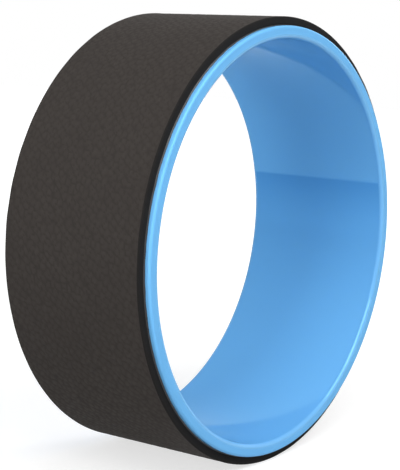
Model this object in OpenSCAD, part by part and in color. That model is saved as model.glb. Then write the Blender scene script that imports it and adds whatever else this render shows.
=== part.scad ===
// Yoga wheel: a rigid plastic hoop with an embossed foam pad glued round it.
// The wheel stands on its tread. The origin is the wheel's centre, +Y runs along its axis and +Z is up.
// Angles on the wheel are counted from +X towards +Z.

/* [Hoop] */
// Outer diameter of the hoop
hoop_d = 317.5; // [200:0.5:400]
// Width of the hoop, from end face to end face
hoop_w = 127; // [60:0.5:200]
// Thickness of the hoop's wall
hoop_wall = 9.5; // [5:0.1:15]
// Radius of the hoop's outer edges
hoop_outer_edge_r = 1.8; // [0.4:0.1:4]
// Radius of the hoop's inner edges
hoop_inner_edge_r = 3; // [0.4:0.1:4]

/* [Weld line] */
// Angle of the weld line on the inner wall
weld_angle = 14.3; // [0:0.1:359.9]
// Radius of the hollow bead that the weld leaves
weld_r = 0.6; // [0.3:0.05:2]
// Depth of the weld line in the wall
weld_depth = 0.15; // [0.05:0.01:0.25]

/* [Tread pad] */
// Thickness of the foam pad
pad_t = 6; // [2:0.1:15]
// How far each edge of the pad is set back from the hoop's end face
pad_inset = 4.75; // [1:0.25:20]
// Radius of the pad's edges at the tread
pad_tread_edge_r = 0.9; // [0.2:0.1:2]
// Radius of the pad's edges at the hoop
pad_root_edge_r = 0.7; // [0.2:0.1:2]
// Angle of the butt joint where the two ends of the pad meet
joint_angle = 40; // [0:1:359]
// Gap between the two ends of the pad
pad_joint_gap = 0.4; // [0.1:0.1:3]

/* [Adhesive film] */
// Thickness of the double-sided film
film_t = 0.2; // [0.1:0.05:1]
// Clearance on each side of the film, from the hoop and from the pad
film_clear = 0.15; // [0.1:0.05:0.5]
// How far each edge of the film shows past the pad's edge
film_show = 1; // [0.25:0.25:3]
// Gap between the two ends of the film, under the butt joint
film_joint_gap = 2; // [0.5:0.5:10]

/* [Hidden] */
$fn = 180;

hoop_r = hoop_d / 2;
bore_r = hoop_r - hoop_wall;
film_in_r = hoop_r + film_clear;
film_out_r = film_in_r + film_t;
pad_in_r = film_out_r + film_clear;
tread_r = pad_in_r + pad_t;
pad_w = hoop_w - 2 * pad_inset;
film_w = pad_w + 2 * film_show;

// An edge radius never takes more than this share of the wall it rounds
edge_share = 1 / 3;
outer_edge = min(hoop_outer_edge_r, hoop_wall * edge_share);
inner_edge = min(hoop_inner_edge_r, hoop_wall * edge_share);
tread_edge = min(pad_tread_edge_r, pad_t * edge_share);
root_edge = min(pad_root_edge_r, pad_t * edge_share);

// How far a cutting shape runs past what it cuts
cut_over = 1;

hoop_colour = [0.42, 0.74, 0.96];
film_colour = [0.09, 0.10, 0.12];
pad_colour = [0.27, 0.26, 0.25];

// What a square corner at the origin, with its material towards +X and +Y, loses to a radius
module corner_waste(r) {
    difference() {
        translate([-cut_over, -cut_over]) square(r + cut_over);
        translate([r, r]) circle(r);
    }
}

// Section of a band from radius r_in to r_out, with its edges rounded at both radii
module band_section(r_in, r_out, w, edge_in, edge_out) {
    difference() {
        translate([r_in, -w / 2]) square([r_out - r_in, w]);
        both_ends() {
            translate([r_in, -w / 2]) corner_waste(edge_in);
            translate([r_out, -w / 2]) mirror([1, 0]) corner_waste(edge_out);
        }
    }
}

// What is drawn for one end of a section, at both its ends
module both_ends() {
    children();
    mirror([0, 1]) children();
}

// Lays what is built round Z along the wheel's axis
module along_axis() {
    rotate([90, 0, 0]) children();
}

// Slot of a given width through a band, at the butt joint
module joint_slot(gap, r_in, r_out, w) {
    rotate([0, 0, joint_angle])
        translate([r_in - cut_over, -gap / 2, -w / 2 - cut_over])
            cube([r_out - r_in + 2 * cut_over, gap, w + 2 * cut_over]);
}

// Rigid plastic hoop, with the straight weld line in its inner wall
module hoop() {
    color(hoop_colour) along_axis() difference() {
        rotate_extrude() band_section(bore_r, hoop_r, hoop_w, inner_edge, outer_edge);
        rotate([0, 0, weld_angle])
            translate([bore_r + weld_depth - weld_r, 0, -hoop_w / 2 - cut_over])
                cylinder(r = weld_r, h = hoop_w + 2 * cut_over);
    }
}

// Double-sided film that bonds the pad to the hoop
module adhesive_film() {
    color(film_colour) along_axis() difference() {
        rotate_extrude() translate([film_in_r, -film_w / 2]) square([film_t, film_w]);
        joint_slot(film_joint_gap, film_in_r, film_out_r, film_w);
    }
}

// Foam pad, one strip wound once round the hoop
module tread_pad() {
    color(pad_colour) along_axis() difference() {
        rotate_extrude() band_section(pad_in_r, tread_r, pad_w, root_edge, tread_edge);
        joint_slot(pad_joint_gap, pad_in_r, tread_r, pad_w);
    }
}

hoop();
adhesive_film();
tread_pad();
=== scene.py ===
"""Yoga wheel: a light-blue plastic hoop with an embossed foam pad glued round it, standing on its tread.

Sizes are in metres and angles in radians. The wheel's axis is Y, and angles on the wheel are counted from
+X towards +Z. A ring is made from grids: one row for each angle round the wheel, and one column for each
point of the ring's section.
"""
import math
import bpy
import numpy as np
from mathutils import Matrix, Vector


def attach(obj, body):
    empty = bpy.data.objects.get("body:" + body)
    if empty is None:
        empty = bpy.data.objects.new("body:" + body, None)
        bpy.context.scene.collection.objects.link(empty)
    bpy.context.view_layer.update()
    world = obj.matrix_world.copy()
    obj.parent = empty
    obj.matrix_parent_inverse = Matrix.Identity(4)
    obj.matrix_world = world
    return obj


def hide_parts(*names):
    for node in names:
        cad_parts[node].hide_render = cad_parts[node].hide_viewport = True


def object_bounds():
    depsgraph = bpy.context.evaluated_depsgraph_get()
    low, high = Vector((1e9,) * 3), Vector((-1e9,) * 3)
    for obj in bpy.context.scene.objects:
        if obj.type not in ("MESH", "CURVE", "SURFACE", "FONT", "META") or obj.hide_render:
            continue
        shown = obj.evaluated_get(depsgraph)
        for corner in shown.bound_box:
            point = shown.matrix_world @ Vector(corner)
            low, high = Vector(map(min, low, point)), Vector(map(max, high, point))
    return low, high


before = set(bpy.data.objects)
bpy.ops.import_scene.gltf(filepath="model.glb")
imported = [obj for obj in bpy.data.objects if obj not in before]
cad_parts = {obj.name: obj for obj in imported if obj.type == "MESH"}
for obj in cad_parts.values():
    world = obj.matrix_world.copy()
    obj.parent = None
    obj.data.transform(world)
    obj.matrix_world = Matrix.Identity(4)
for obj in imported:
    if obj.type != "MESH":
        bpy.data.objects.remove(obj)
cad_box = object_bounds()

MM = 0.001
FULL_TURN = 2 * math.pi

# The photograph's frame and the middle of its view, in pixels
PHOTO_W, PHOTO_H = 400, 470
CENTRE_PX = (240, 235)
# The camera that was found for the photograph: turned from +Y towards +X, tilted up and rolled
FOCAL_PX = 1395.4
CAMERA_AT = (-0.8593, -0.6106, 0.1409)
CAMERA_YAW, CAMERA_PITCH, CAMERA_ROLL = 0.97194, -0.13282, -0.04021
SENSOR_MM = 36

# Sizes that the part's edges and ends are made with
HOOP_OUTER_EDGE = 1.8 * MM
HOOP_INNER_EDGE = 3.0 * MM
PAD_TREAD_EDGE = 0.9 * MM
PAD_ROOT_EDGE = 0.7 * MM
WELD_ANGLE = math.radians(14.3)
WELD_HALF_WIDTH = 0.4 * MM
WELD_DEPTH = 0.15 * MM
JOINT_ANGLE = math.radians(40)
PAD_JOINT_GAP = 0.4 * MM
FILM_JOINT_GAP = 2.0 * MM

# The film is pressed flat, so that it all but touches the hoop and the pad
FILM_CLEAR = 0.02 * MM
# What the noise is divided by, so that only its rare peaks are cut off
NOISE_PEAK = 1.6


# Mesh helpers


def band(node):
    """(inner radius, outer radius, half width) of one of the part's rings, from its own points."""
    co = np.array([v.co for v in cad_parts[node].data.vertices])
    radius = np.hypot(co[:, 0], co[:, 2])
    return radius.min(), radius.max(), np.abs(co[:, 1]).max()


def quarter(r, y, edge, start, steps):
    """Points of a quarter turn of radius edge round (r, y), from start quarter turns downwards."""
    turns = (start - np.linspace(0, 1, steps + 1)) * math.pi / 2
    return np.stack([r + edge * np.cos(turns), y + edge * np.sin(turns)], 1)


def straight(a, b, pieces, margin):
    """Points between a and b, without a and b: one at each end's margin, and evenly spaced ones between."""
    a, b = np.array(a), np.array(b)
    length = np.linalg.norm(b - a)
    inner = np.linspace(margin / length, 1 - margin / length, pieces + 1)
    return a + (b - a) * inner[:, None]


def band_outline(ring, edge_in, edge_out, pieces, steps, margin):
    """Section of a ring as (radius, y) points, from its inner wall's front end on, and each point's part.

    pieces counts the pieces of the inner wall, each end face and the outer wall, and steps those of an edge.
    """
    r_in, r_out, half = ring
    wall_n, face_n, outer_n = pieces
    low_in, high_in = -half + edge_in, half - edge_in
    low_out, high_out = -half + edge_out, half - edge_out
    face_in, face_out = r_in + edge_in, r_out - edge_out
    runs = [
        ("inside", straight((r_in, low_in), (r_in, high_in), wall_n, margin)),
        ("inner_edge", quarter(face_in, high_in, edge_in, 2, steps)),
        ("end_face", straight((face_in, half), (face_out, half), face_n, margin)),
        ("outer_edge", quarter(face_out, high_out, edge_out, 1, steps)),
        ("outside", straight((r_out, high_out), (r_out, low_out), outer_n, margin)),
        ("outer_edge", quarter(face_out, low_out, edge_out, 0, steps)),
        ("end_face", straight((face_out, -half), (face_in, -half), face_n, margin)),
        ("inner_edge", quarter(face_in, low_in, edge_in, -1, steps)),
    ]
    points = np.concatenate([run for _, run in runs])
    parts = np.concatenate([[name] * len(run) for name, run in runs])
    return points, parts


def ring_grids(outline, rows):
    """The radius and the y value of every point of a ring with that many rows."""
    return np.tile(outline[:, 0], (rows, 1)), np.tile(outline[:, 1], (rows, 1))


def grid_faces(rows, columns, closed):
    """Quads of a grid that closes on itself across its columns, and also along its rows if closed."""
    last = rows if closed else rows - 1
    i = np.arange(last)[:, None]
    j = np.arange(columns)[None, :]
    i_next, j_next = (i + 1) % rows, (j + 1) % columns
    corners = [i * columns + j, i * columns + j_next, i_next * columns + j_next, i_next * columns + j]
    return np.stack([np.broadcast_to(c, (last, columns)) for c in corners], -1).reshape(-1, 4)


def ring_mesh(name, angles, radius, width, closed):
    """A smooth ring from grids of radii and y values, with an angle for each row or for each point."""
    rows, columns = radius.shape
    x, z = radius * np.cos(angles), radius * np.sin(angles)
    points = np.stack([x, width, z], -1).reshape(-1, 3)
    faces = [tuple(map(int, face)) for face in grid_faces(rows, columns, closed)]
    if not closed:
        first = list(range(columns))
        faces.append(tuple(first))
        faces.append(tuple((rows - 1) * columns + k for k in reversed(first)))
    mesh = bpy.data.meshes.new(name)
    mesh.from_pydata(points.tolist(), [], faces)
    mesh.update()
    made = bpy.data.objects.new(name, mesh)
    bpy.context.scene.collection.objects.link(made)
    mesh.shade_smooth()
    return made


def point_mask(obj, name, values):
    """Keeps a value for each point of a mesh, for its material to read."""
    layer = obj.data.attributes.new(name, "FLOAT", "POINT")
    layer.data.foreach_set("value", np.asarray(values, np.float32).ravel())


def part_mask(obj, name, chosen, rows):
    """Keeps 1 for the chosen points of a ring's section in every row, and 0 for the others."""
    point_mask(obj, name, np.tile(chosen, (rows, 1)))


def smooth_noise(t, waves, seed):
    """A smooth closed line of noise from -1 to 1 at angles t: a sum of waves, with so many to the turn."""
    rng = np.random.default_rng(seed)
    total = np.zeros_like(t)
    for k in waves:
        total += rng.normal() * np.cos(k * t + rng.uniform(0, FULL_TURN)) / math.sqrt(len(waves))
    return np.clip(total / NOISE_PEAK, -1, 1)


# Node helpers


def fill_input(tree, socket, value):
    """Links the value to the socket if it comes from another node, and otherwise sets it there."""
    if isinstance(value, bpy.types.NodeSocket):
        tree.links.new(value, socket)
    else:
        socket.default_value = value


def add(tree, kind, inputs=None, **settings):
    """A node of that kind, with its settings made and each named or numbered input filled."""
    made = tree.nodes.new(kind)
    for name, value in settings.items():
        setattr(made, name, value)
    for name, value in (inputs or {}).items():
        fill_input(tree, made.inputs[name], value)
    return made


def math_node(tree, operation, *values):
    """The result of one calculation with up to three values."""
    return add(tree, "ShaderNodeMath", dict(enumerate(values)), operation=operation).outputs[0]


# A Mix node takes values at its inputs 2 and 3, and colours at 6 and 7


def mix_values(tree, factor, a, b):
    """The value a, going over to b as the factor goes from 0 to 1."""
    return add(tree, "ShaderNodeMix", {0: factor, 2: a, 3: b}).outputs[0]


def mix_colours(tree, factor, a, b):
    """The colour a, going over to b as the factor goes from 0 to 1."""
    return add(tree, "ShaderNodeMix", {0: factor, 6: a, 7: b}, data_type="RGBA").outputs[2]


def spread(tree, value, low, high):
    """The value, from low to high, brought to 0 to 1 and kept there."""
    made = add(tree, "ShaderNodeMapRange", {"Value": value, "From Min": low, "From Max": high})
    return made.outputs["Result"]


def mask_of(tree, name):
    """One of the values that the mesh keeps for each of its points."""
    return add(tree, "ShaderNodeAttribute", attribute_name=name).outputs["Fac"]


def new_group(name, inputs, outputs):
    """An empty node group with named sockets: (tree, its inputs, its output node)."""
    tree = bpy.data.node_groups.new(name, "ShaderNodeTree")
    for label, kind, default in inputs:
        socket = tree.interface.new_socket(label, in_out="INPUT", socket_type=kind)
        if default is not None:
            socket.default_value = default
    for label, kind in outputs:
        tree.interface.new_socket(label, in_out="OUTPUT", socket_type=kind)
    return tree, tree.nodes.new("NodeGroupInput").outputs, tree.nodes.new("NodeGroupOutput")


# Effects that the materials are made from

FLOAT, COLOUR, VECTOR = "NodeSocketFloat", "NodeSocketColor", "NodeSocketVector"
WHITE = (1, 1, 1, 1)


def tone_group():
    """Slow, soft changes of tone over a surface, as between batches of pigment or after handling."""
    tree, given, out = new_group(
        "soft_tone",
        [("Place", VECTOR, None), ("Colour", COLOUR, WHITE), ("Other", COLOUR, WHITE),
         ("Size", FLOAT, 20.0), ("Amount", FLOAT, 0.5)],
        [("Colour", COLOUR), ("Mask", FLOAT)],
    )
    place, size = given["Place"], given["Size"]
    clouds = add(tree, "ShaderNodeTexNoise", {"Vector": place, "Scale": size, "Detail": 3.0})
    mask = spread(tree, clouds.outputs["Fac"], 0.35, 0.65)
    share = math_node(tree, "MULTIPLY", mask, given["Amount"])
    tree.links.new(mix_colours(tree, share, given["Colour"], given["Other"]), out.inputs["Colour"])
    tree.links.new(mask, out.inputs["Mask"])
    return tree


def grain_group():
    """Fine grain of a moulded or foamed skin: two sizes of pebble, as a height from 0 to 1."""
    tree, given, out = new_group(
        "skin_grain",
        [("Place", VECTOR, None), ("Size", FLOAT, 1500.0), ("Coarse Share", FLOAT, 0.5)],
        [("Height", FLOAT)],
    )
    place, size = given["Place"], given["Size"]
    fine = add(tree, "ShaderNodeTexNoise", {"Vector": place, "Scale": size, "Detail": 2.0})
    wide = math_node(tree, "MULTIPLY", size, 0.35)
    coarse = add(tree, "ShaderNodeTexVoronoi", {"Vector": place, "Scale": wide}, feature="SMOOTH_F1")
    fine_share = math_node(tree, "SUBTRACT", 1.0, given["Coarse Share"])
    fine_part = math_node(tree, "MULTIPLY", fine.outputs["Fac"], fine_share)
    coarse_part = math_node(tree, "MULTIPLY", coarse.outputs["Distance"], given["Coarse Share"])
    tree.links.new(math_node(tree, "ADD", fine_part, coarse_part), out.inputs["Height"])
    return tree


def speck_group():
    """Scattered specks, such as dust, lint or pores, as a mask."""
    tree, given, out = new_group(
        "specks",
        [("Place", VECTOR, None), ("Size", FLOAT, 400.0), ("Share", FLOAT, 0.1)],
        [("Mask", FLOAT)],
    )
    cells = add(tree, "ShaderNodeTexVoronoi", {"Vector": given["Place"], "Scale": given["Size"]})
    chosen = add(tree, "ShaderNodeSeparateColor", {"Color": cells.outputs["Color"]})
    kept = math_node(tree, "LESS_THAN", chosen.outputs[0], given["Share"])
    near = math_node(tree, "SUBTRACT", 1.0, spread(tree, cells.outputs["Distance"], 0.12, 0.3))
    tree.links.new(math_node(tree, "MULTIPLY", kept, near), out.inputs["Mask"])
    return tree


EFFECTS = {"tone": tone_group(), "grain": grain_group(), "specks": speck_group()}


def effect(tree, name, inputs):
    """The outputs of one of the shared effects, placed in a material with its own values."""
    made = tree.nodes.new("ShaderNodeGroup")
    made.node_tree = EFFECTS[name]
    for label, value in inputs.items():
        fill_input(tree, made.inputs[label], value)
    return made.outputs


# Materials


def new_material(name):
    """(material, its node tree, its Principled shader, place on the object)."""
    made = bpy.data.materials.new(name)
    made.use_nodes = True
    tree = made.node_tree
    shader = tree.nodes["Principled BSDF"]
    place = tree.nodes.new("ShaderNodeTexCoord").outputs["Object"]
    return made, tree, shader, place


def turned_rings(tree, place):
    """Fine rings round the wheel's axis, as a cutting tool leaves them on the end faces."""
    parts = add(tree, "ShaderNodeSeparateXYZ", {"Vector": place}).outputs
    x_squared = math_node(tree, "POWER", parts["X"], 2.0)
    z_squared = math_node(tree, "POWER", parts["Z"], 2.0)
    radius = math_node(tree, "SQRT", math_node(tree, "ADD", x_squared, z_squared))
    rings_at = add(tree, "ShaderNodeCombineXYZ", {"X": radius}).outputs[0]
    rings = add(tree, "ShaderNodeTexNoise", {"Vector": rings_at, "Scale": 3000.0, "Detail": 1.0})
    return rings.outputs["Fac"]


def hoop_plastic():
    """Light-blue rigid plastic: glossy, with a trace of pearl that tints its gloss, satin end faces, and
    painted shade in a darker blue below the weld line.
    """
    made, tree, shader, place = new_material("hoop_plastic")
    blue = (0.18, 0.525, 0.94, 1)
    deep_blue = (0.163, 0.495, 0.91, 1)
    weld_shade_blue = (0.09, 0.36, 0.78, 1)
    pearl_tint = (0.3, 0.85, 1.0, 1)
    toned = effect(tree, "tone", {"Place": place, "Colour": blue, "Other": deep_blue,
                                  "Size": 9.0, "Amount": 0.35})
    # Painted shade: the inner wall below the weld line is mixed towards a darker blue
    colour = mix_colours(tree, mask_of(tree, "weld_painted_shade"), toned["Colour"], weld_shade_blue)
    tree.links.new(colour, shader.inputs["Base Color"])

    face = mask_of(tree, "end_face")
    rings = turned_rings(tree, place)
    handled = effect(tree, "tone", {"Place": place, "Size": 30.0})["Mask"]
    # Roughness from 0.07 to 0.12 on the walls, and from 0.36 to 0.48 on the end faces
    gloss = math_node(tree, "MULTIPLY_ADD", handled, 0.05, 0.07)
    satin = math_node(tree, "MULTIPLY_ADD", rings, 0.12, 0.36)
    tree.links.new(mix_values(tree, face, gloss, satin), shader.inputs["Roughness"])
    ripple = add(tree, "ShaderNodeTexNoise", {"Vector": place, "Scale": 90.0, "Detail": 2.0}).outputs["Fac"]
    height = mix_values(tree, face, ripple, rings)
    bump = add(tree, "ShaderNodeBump", {"Height": height, "Distance": 0.03 * MM, "Strength": 0.6})
    tree.links.new(bump.outputs["Normal"], shader.inputs["Normal"])

    shader.inputs["Specular IOR Level"].default_value = 0.09
    shader.inputs["Metallic"].default_value = 0.11
    shader.inputs["Specular Tint"].default_value = pearl_tint
    polish = math_node(tree, "MULTIPLY", mask_of(tree, "smooth_edge"), 0.45)
    tree.links.new(polish, shader.inputs["Coat Weight"])
    shader.inputs["Coat Roughness"].default_value = 0.04
    return made


def pad_foam():
    """Brownish dark-grey foam: matte embossed skin with painted shade in its grooves, and porous cut edges
    darkened partly by painted shade.
    """
    made, tree, shader, place = new_material("pad_foam")
    skin = (0.0405, 0.0351, 0.0318, 1)
    worn_skin = (0.0470, 0.0410, 0.0370, 1)
    # The groove colour is a darker skin, painted shade in the emboss's recesses; the tops keep the skin's own
    # tone
    groove = (0.0345, 0.0302, 0.0277, 1)
    dust = (0.13, 0.12, 0.11, 1)
    # The cut edges' colour is darker than the skin: partly the open pores of cut foam, partly painted shade
    # on the pad's side faces and at its root beside the hoop
    cut_foam_and_shade = (0.0168, 0.0158, 0.0154, 1)
    top = mask_of(tree, "emboss")
    cut = mask_of(tree, "cut_edge")
    toned = effect(tree, "tone", {"Place": place, "Colour": skin, "Other": worn_skin,
                                  "Size": 14.0, "Amount": 0.6})
    groove_shaded_skin = mix_colours(tree, top, groove, toned["Colour"])
    dust_at = effect(tree, "specks", {"Place": place, "Size": 900.0, "Share": 0.04})["Mask"]
    dusty = mix_colours(tree, math_node(tree, "MULTIPLY", dust_at, 0.2), groove_shaded_skin, dust)
    tree.links.new(mix_colours(tree, cut, dusty, cut_foam_and_shade), shader.inputs["Base Color"])

    pores = effect(tree, "specks", {"Place": place, "Size": 1600.0, "Share": 0.5})["Mask"]
    grain = effect(tree, "grain", {"Place": place, "Size": 2200.0, "Coarse Share": 0.45})["Height"]
    height = math_node(tree, "SUBTRACT", grain, math_node(tree, "MULTIPLY", pores, cut))
    bump = add(tree, "ShaderNodeBump", {"Height": height, "Distance": 0.12 * MM, "Strength": 0.7})
    tree.links.new(bump.outputs["Normal"], shader.inputs["Normal"])

    skin_roughness = mix_values(tree, top, 0.92, 0.74)
    tree.links.new(mix_values(tree, cut, skin_roughness, 0.97), shader.inputs["Roughness"])
    shader.inputs["Specular IOR Level"].default_value = 0.12
    return made


def adhesive():
    """Dark double-sided film, slightly wet-looking where its edge shows; its darkness there is also painted
    shade for the gap under the pad's edge.
    """
    made, tree, shader, place = new_material("adhesive")
    # Near-black film colour, partly the film's own and partly painted shade for the gap between pad and hoop
    dark = (0.012, 0.013, 0.016, 1)
    lighter = (0.03, 0.03, 0.034, 1)
    toned = effect(tree, "tone", {"Place": place, "Colour": dark, "Other": lighter,
                                  "Size": 60.0, "Amount": 0.8})
    tree.links.new(toned["Colour"], shader.inputs["Base Color"])
    grain = effect(tree, "grain", {"Place": place, "Size": 900.0})["Height"]
    bump = add(tree, "ShaderNodeBump", {"Height": grain, "Distance": 0.05 * MM})
    tree.links.new(bump.outputs["Normal"], shader.inputs["Normal"])
    # Roughness from 0.25 to 0.5
    roughness = math_node(tree, "MULTIPLY_ADD", toned["Mask"], 0.25, 0.25)
    tree.links.new(roughness, shader.inputs["Roughness"])
    return made


# Hoop

# Even rows round the hoop, and the pieces of its inner wall, each end face and its outer wall
HOOP_ROWS = 720
HOOP_PIECES = (28, 4, 12)
# Steps of a rounded edge, and the length of the piece beside it
HOOP_EDGE_STEPS = 9
HOOP_MARGIN = 0.5 * MM
# Rows of the weld line, in half widths from its middle
WELD_ROWS = np.array([-3, -2, -1.4, -1, -0.75, -0.5, -0.25, 0, 0.25, 0.5, 0.75, 1, 1.4, 2, 3])
# The wall bulges softly inwards at the weld line, and the bulge fades over its reach
WELD_BULGE, WELD_BULGE_REACH = 0.25 * MM, 14 * MM
# Below the weld line the wall takes this share of a darker blue, painted shade for the darker side of the
# weld, which starts softly and fades over its reach
WELD_SHADE_SHARE = 0.9
WELD_SHADE_START, WELD_SHADE_REACH = 2 * MM, 45 * MM
# How far the inner wall sways in and out
WALL_SWAY = 0.06 * MM


def from_weld(angles):
    """Angles counted from the weld line, from minus to plus half a turn."""
    return (angles - WELD_ANGLE + math.pi) % FULL_TURN - math.pi


def hoop_angles(r_in):
    """Angles round the hoop, closer together at the weld line."""
    even = np.arange(HOOP_ROWS) * math.radians(360 / HOOP_ROWS)
    half_angle = WELD_HALF_WIDTH / r_in
    reach = WELD_ROWS.max() * half_angle
    near = WELD_ANGLE + WELD_ROWS * half_angle
    return np.sort(np.concatenate([even[np.abs(from_weld(even)) > reach], near]))


def make_hoop():
    """The rigid hoop, with the weld line along its inner wall."""
    ring = band("hoop")
    r_in = ring[0]
    outline, parts = band_outline(
        ring, HOOP_INNER_EDGE, HOOP_OUTER_EDGE, HOOP_PIECES, HOOP_EDGE_STEPS, HOOP_MARGIN
    )
    angles = hoop_angles(r_in)
    rows = len(angles)
    radius, width = ring_grids(outline, rows)
    arc = from_weld(angles) * r_in
    bulge = WELD_BULGE * np.exp(-np.abs(arc) / WELD_BULGE_REACH)
    groove = WELD_DEPTH * np.clip(1 - (arc / WELD_HALF_WIDTH) ** 2, 0, 1)
    sway = WALL_SWAY * smooth_noise(angles, range(3, 12), seed=4)
    wall = np.isin(parts, ["inside", "inner_edge"])
    radius[:, wall] += (groove + sway - bulge)[:, None]
    made = ring_mesh("hoop_shell", angles[:, None], radius, width, closed=True)
    # Painted shade below the weld line, on the inner wall only
    shade_below_weld = np.clip(-arc / WELD_SHADE_START, 0, 1) * np.exp(-np.abs(arc) / WELD_SHADE_REACH)
    point_mask(made, "weld_painted_shade", shade_below_weld[:, None] * (parts == "inside") * WELD_SHADE_SHARE)
    part_mask(made, "end_face", np.isin(parts, ["end_face", "outer_edge"]), rows)
    part_mask(made, "smooth_edge", parts == "inner_edge", rows)
    made.data.materials.append(hoop_plastic())
    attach(made, "root")
    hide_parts("hoop")


# Tread pad

# Even rows along the strip, and the pieces of the pad's inner wall, each end face and its tread
PAD_ROWS = 828
PAD_PIECES = (1, 2, 94)
# Steps of a rounded edge, and the length of the piece beside it
PAD_EDGE_STEPS = 3
PAD_MARGIN = 0.3 * MM
# Extra rows at each end of the strip, counted from its cut, and where the even rows start
PAD_END_ROWS = np.array([0, 0.15, 0.4, 0.8]) * MM
PAD_EVEN_START = 1.5 * MM
# How much each end of the strip is rounded down at its cut, and over what length
END_ROUND, END_ROUND_LENGTH = 0.3 * MM, 0.8 * MM
# Only points more than this far from the hoop are rounded down there
END_ROUND_FROM = 3 * MM
# How far the trimmed edges stray, and how far the knife strayed from a straight cut across the strip
TRIM_SWAY = 0.12 * MM
CUT_SWAY, CUT_SWAY_REACH = 0.5 * MM, 15 * MM

# Two steps of the embossing's lattice, as (along the strip, across the strip)
CELL_ALONG = np.array([7.6, -0.6]) * MM
CELL_ACROSS = np.array([1.9, 6.6]) * MM
EMBOSS_DEPTH = 0.26 * MM
# Each kind of grain on the lattice: its place in the cell, length, width, tilt in degrees and height
GRAINS = [
    {"at": (0.0, 0.0), "length": 6.4 * MM, "width": 4.4 * MM, "tilt": 34, "height": 0.88},
    {"at": (0.5, 0.5), "length": 6.0 * MM, "width": 4.0 * MM, "tilt": -28, "height": 0.82},
]
# How far a grain may lie from its place, turn in degrees, and differ in size and in height from its kind
GRAIN_SHIFT = 1.7 * MM
GRAIN_TURN = 26
GRAIN_SIZE_SPREAD = 0.12
GRAIN_HEIGHT_SPREAD = 0.14
GRAIN_SEED = 11
# The same loose grains come back after this many cells along and across the strip
REPEAT_ALONG, REPEAT_ACROSS = 200, 40
# Distances from a grain are counted from its middle, so that 1 is its rim. A groove's slope ends where the
# next grain is this much further away than the nearest one
GROOVE_SLOPE = 0.5
# How much lower a grain is at its rim than in its middle, and how far out it stops falling off
GRAIN_CROWN, CROWN_END = 0.3, 1.2
# Further from every grain than any point is
FAR = 9.0


def grain_distances(along, across):
    """Distances to the middles of the nearest grain and the next, 1 at a rim, and the nearest's height."""
    cell = np.stack([CELL_ALONG, CELL_ACROSS], 1)
    turn = np.linalg.inv(cell)
    u = turn[0, 0] * along + turn[0, 1] * across
    v = turn[1, 0] * along + turn[1, 1] * across
    rng = np.random.default_rng(GRAIN_SEED)
    loose = rng.uniform(-1, 1, (len(GRAINS), REPEAT_ALONG, REPEAT_ACROSS, 4))
    first = np.full(u.shape, FAR)
    second = np.full(u.shape, FAR)
    height = np.ones(u.shape)
    steps = [(du, dv) for du in (-1, 0, 1) for dv in (-1, 0, 1)]
    for kind, grain in enumerate(GRAINS):
        for du, dv in steps:
            i = np.round(u - grain["at"][0]) + du
            j = np.round(v - grain["at"][1]) + dv
            own = loose[kind, i.astype(int) % REPEAT_ALONG, j.astype(int) % REPEAT_ACROSS]
            x = along - (cell[0, 0] * (i + grain["at"][0]) + cell[0, 1] * (j + grain["at"][1]))
            y = across - (cell[1, 0] * (i + grain["at"][0]) + cell[1, 1] * (j + grain["at"][1]))
            x, y = x - own[..., 0] * GRAIN_SHIFT, y - own[..., 1] * GRAIN_SHIFT
            tilt = np.radians(grain["tilt"] + own[..., 2] * GRAIN_TURN)
            a = (x * np.cos(tilt) + y * np.sin(tilt)) / (grain["length"] / 2)
            b = (y * np.cos(tilt) - x * np.sin(tilt)) / (grain["width"] / 2)
            away = np.hypot(a, b) * (1 + GRAIN_SIZE_SPREAD * own[..., 3])
            nearer = away < first
            second = np.where(nearer, first, np.minimum(second, away))
            height = np.where(nearer, grain["height"] + GRAIN_HEIGHT_SPREAD * own[..., 3], height)
            first = np.where(nearer, away, first)
    return first, second, height


def emboss(along, across):
    """Height of the embossing, 0 in the grooves and about 1 on the highest grains."""
    first, second, height = grain_distances(along, across)
    wall = np.clip((second - first) / GROOVE_SLOPE, 0, 1)
    crown = 1 - GRAIN_CROWN * np.clip(first, 0, CROWN_END) ** 2
    return wall * wall * (3 - 2 * wall) * crown * height


def pad_angles(start, stop, r_out):
    """Angles round the pad from one cut end to the other, closer together at both."""
    ends = PAD_END_ROWS / r_out
    inset = PAD_EVEN_START / r_out
    middle = np.linspace(start + inset, stop - inset, PAD_ROWS)
    return np.concatenate([start + ends, middle, stop - ends[::-1]])


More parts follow.
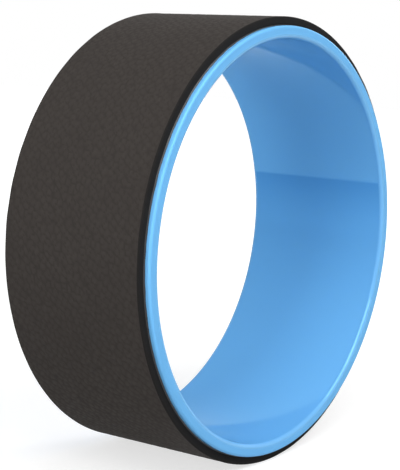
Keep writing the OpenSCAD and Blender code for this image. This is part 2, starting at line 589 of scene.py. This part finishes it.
def make_pad():
    """The foam pad: one embossed strip, wound once round the hoop and butted end to end."""
    ring = band("tread_pad")
    r_in, r_out, half = ring
    outline, parts = band_outline(ring, PAD_ROOT_EDGE, PAD_TREAD_EDGE, PAD_PIECES, PAD_EDGE_STEPS, PAD_MARGIN)
    gap = PAD_JOINT_GAP / 2 / r_out
    start, stop = JOINT_ANGLE + gap, JOINT_ANGLE + FULL_TURN - gap
    angles = pad_angles(start, stop, r_out)
    rows = len(angles)
    radius, width = ring_grids(outline, rows)
    tread = parts == "outside"
    along = ((angles - JOINT_ANGLE) * r_out)[:, None] + np.zeros(len(parts))
    height = np.where(tread, emboss(along, width), 1.0)
    radius -= (1 - height) * EMBOSS_DEPTH * tread
    from_end = np.minimum(angles - start, stop - angles) * r_out
    rounded = END_ROUND * np.clip(1 - from_end / END_ROUND_LENGTH, 0, 1) ** 2
    radius[:, radius[0] > r_in + END_ROUND_FROM] -= rounded[:, None]
    trim = TRIM_SWAY * smooth_noise(angles, range(5, 60), seed=8)
    width += trim[:, None] * np.isin(parts, ["end_face", "outer_edge", "inner_edge"])
    cut_line = CUT_SWAY / r_out * smooth_noise(outline[:, 1] / half * math.pi, range(1, 7), seed=3)
    turns = angles[:, None] + np.exp(-from_end / CUT_SWAY_REACH)[:, None] * cut_line
    made = ring_mesh("foam_tread", turns, radius, width, closed=False)
    point_mask(made, "emboss", height)
    part_mask(made, "cut_edge", ~tread, rows)
    made.data.materials.append(pad_foam())
    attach(made, "root")
    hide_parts("tread_pad")


# Adhesive film

FILM_ROWS = 481
FILM_COLUMNS = 9
# How far the film's edges are cut back at most
FILM_TRIM = 0.4 * MM


def make_film():
    """The film, pressed flat between the hoop and the pad."""
    r_in = band("hoop")[1] + FILM_CLEAR
    r_out = band("tread_pad")[0] - FILM_CLEAR
    half = band("adhesive_film")[2]
    gap = FILM_JOINT_GAP / 2 / r_out
    angles = np.linspace(JOINT_ANGLE + gap, JOINT_ANGLE + FULL_TURN - gap, FILM_ROWS)
    across = np.linspace(-1, 1, FILM_COLUMNS) * half
    inner = np.stack([np.full(FILM_COLUMNS, r_in), across], 1)
    outer = np.stack([np.full(FILM_COLUMNS, r_out), -across], 1)
    outline = np.concatenate([inner, outer])
    radius, width = ring_grids(outline, len(angles))
    edge = np.isclose(np.abs(outline[:, 1]), half)
    trim = FILM_TRIM * (0.5 + 0.5 * smooth_noise(angles, range(9, 90), seed=2))
    width -= trim[:, None] * np.sign(width) * edge
    made = ring_mesh("bonding_film", angles[:, None], radius, width, closed=False)
    made.data.materials.append(adhesive())
    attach(made, "root")
    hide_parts("adhesive_film")


# Studio

WORLD_LIGHT = 0.08
FLOOR_REACH = 6.0
FLOOR_GREY = (0.5, 0.5, 0.5, 1)
# As it is seen, the floor goes from this share of white near the wheel's centre to plain white further away
FLOOR_WHITE_NEAR = 0.68
FLOOR_NEAR, FLOOR_FAR = 0.3, 1.8
# A lamp is at its full strength to the first share of its side from its middle, and dark at the second
LAMP_PLATEAU, LAMP_EDGE = 0.25, 0.5
# The share of a plain lamp's light that such a lamp gives
LAMP_SHARE = 0.45


def make_world():
    """A dim white light from all round, which is plain white where the camera or a mirror sees it."""
    world = bpy.data.worlds.new("studio")
    bpy.context.scene.world = world
    world.use_nodes = True
    tree = world.node_tree
    tree.nodes.clear()
    light = add(tree, "ShaderNodeBackground", {"Color": WHITE, "Strength": WORLD_LIGHT}).outputs[0]
    white = add(tree, "ShaderNodeBackground", {"Color": WHITE, "Strength": 1.0}).outputs[0]
    path = tree.nodes.new("ShaderNodeLightPath").outputs
    seen = math_node(tree, "MAXIMUM", path["Is Camera Ray"], path["Is Glossy Ray"])
    seen = math_node(tree, "MAXIMUM", seen, path["Is Transmission Ray"])
    mixed = add(tree, "ShaderNodeMixShader", {0: seen, 1: light, 2: white}).outputs[0]
    out = tree.nodes.new("ShaderNodeOutputWorld")
    tree.links.new(mixed, out.inputs["Surface"])


def floor_paint():
    """Pale matte floor, which goes over to plain white away from the wheel and keeps the wheel's shadow."""
    made, tree, shader, place = new_material("pale_floor")
    shader.inputs["Base Color"].default_value = FLOOR_GREY
    shader.inputs["Roughness"].default_value = 0.9
    shader.inputs["Emission Color"].default_value = WHITE
    path = tree.nodes.new("ShaderNodeLightPath").outputs
    seen = math_node(tree, "MAXIMUM", path["Is Camera Ray"], path["Is Glossy Ray"])
    away = add(tree, "ShaderNodeVectorMath", {0: place}, operation="LENGTH").outputs["Value"]
    glow = add(tree, "ShaderNodeMapRange", {"Value": away, "From Min": FLOOR_NEAR, "From Max": FLOOR_FAR,
                                            "To Min": FLOOR_WHITE_NEAR, "To Max": 1.0}).outputs["Result"]
    tree.links.new(math_node(tree, "MULTIPLY", seen, glow), shader.inputs["Emission Strength"])
    return made


def make_floor(z):
    """A square floor at that height."""
    mesh = bpy.data.meshes.new("floor")
    corners = [(-FLOOR_REACH, -FLOOR_REACH, z), (FLOOR_REACH, -FLOOR_REACH, z),
               (FLOOR_REACH, FLOOR_REACH, z), (-FLOOR_REACH, FLOOR_REACH, z)]
    mesh.from_pydata(corners, [], [(0, 1, 2, 3)])
    floor = bpy.data.objects.new("floor", mesh)
    bpy.context.scene.collection.objects.link(floor)
    mesh.materials.append(floor_paint())


def soft_lamp(name, at, side, watts, mirrored=True):
    """A square lamp behind a diffuser: it points at the wheel's centre and fades towards its edges."""
    data = bpy.data.lights.new(name, "AREA")
    data.shape = "SQUARE"
    data.size = side
    data.energy = watts
    data.use_nodes = True
    tree = data.node_tree
    on_lamp = tree.nodes.new("ShaderNodeNewGeometry").outputs["Parametric"]
    middle = (0.5, 0.5, 0)
    away = add(tree, "ShaderNodeVectorMath", {0: on_lamp, 1: middle}, operation="DISTANCE")
    fade = add(tree, "ShaderNodeMapRange", {"Value": away.outputs["Value"], "From Min": LAMP_EDGE,
                                            "From Max": LAMP_PLATEAU, "To Max": 1 / LAMP_SHARE},
               interpolation_type="SMOOTHSTEP")
    tree.links.new(fade.outputs["Result"], tree.nodes["Emission"].inputs["Strength"])
    lamp = bpy.data.objects.new(name, data)
    bpy.context.scene.collection.objects.link(lamp)
    lamp.location = at
    lamp.rotation_mode = "QUATERNION"
    lamp.rotation_quaternion = (-lamp.location).to_track_quat("-Z", "Y")
    lamp.visible_glossy = mirrored


def make_lamps():
    """Large soft lamps above and to the left, smaller ones in front and low down, and three elsewhere."""
    soft_lamp("overhead", (-0.99, -0.7, 1.59), side=1.7, watts=18.0)
    soft_lamp("front_top", (0, -1.2, 1.6), side=1.7, watts=14.0)
    soft_lamp("front", (-0.89, -1.51, 0.97), side=0.55, watts=3.8)
    soft_lamp("left", (-1.78, -0.2, 0.89), side=1.7, watts=9.0)
    soft_lamp("low_left", (-1.48, 0.22, -0.07), side=0.35, watts=4.9)
    soft_lamp("low_front", (-0.35, -1.45, 0.05), side=0.5, watts=2.1, mirrored=False)
    soft_lamp("right_front", (1.0, -1.2, 0.9), side=0.8, watts=1.6, mirrored=False)
    soft_lamp("right", (1.95, 0.15, 0.5), side=0.9, watts=7.0)
    soft_lamp("rear", (0.5, 1.9, 0.6), side=0.9, watts=1.4)


def make_camera():
    """The photograph's camera: its place, its turn and its slightly off-centre frame."""
    data = bpy.data.cameras.new("camera")
    camera = bpy.data.objects.new("camera", data)
    bpy.context.scene.collection.objects.link(camera)
    cy, sy = math.cos(CAMERA_YAW), math.sin(CAMERA_YAW)
    cp, sp = math.cos(CAMERA_PITCH), math.sin(CAMERA_PITCH)
    cr, sr = math.cos(CAMERA_ROLL), math.sin(CAMERA_ROLL)
    ahead = np.array([sy * cp, cy * cp, sp])
    level = np.array([cy, -sy, 0])
    down = np.cross(ahead, level)
    right, below = cr * level + sr * down, -sr * level + cr * down
    turn = Matrix(np.stack([right, -below, -ahead], 1).tolist()).to_4x4()
    camera.matrix_world = Matrix.Translation(CAMERA_AT) @ turn
    data.sensor_width = SENSOR_MM
    data.lens = FOCAL_PX * SENSOR_MM / PHOTO_H
    data.shift_x = (PHOTO_W / 2 - CENTRE_PX[0]) / PHOTO_H
    data.shift_y = (CENTRE_PX[1] - PHOTO_H / 2) / PHOTO_H
    data.clip_start, data.clip_end = 0.05, 50
    bpy.context.scene.camera = camera


make_camera()
make_hoop()
make_film()
make_pad()
make_world()
make_floor(cad_box[0].z)
make_lamps()
bpy.context.scene.view_settings.view_transform = "Standard"
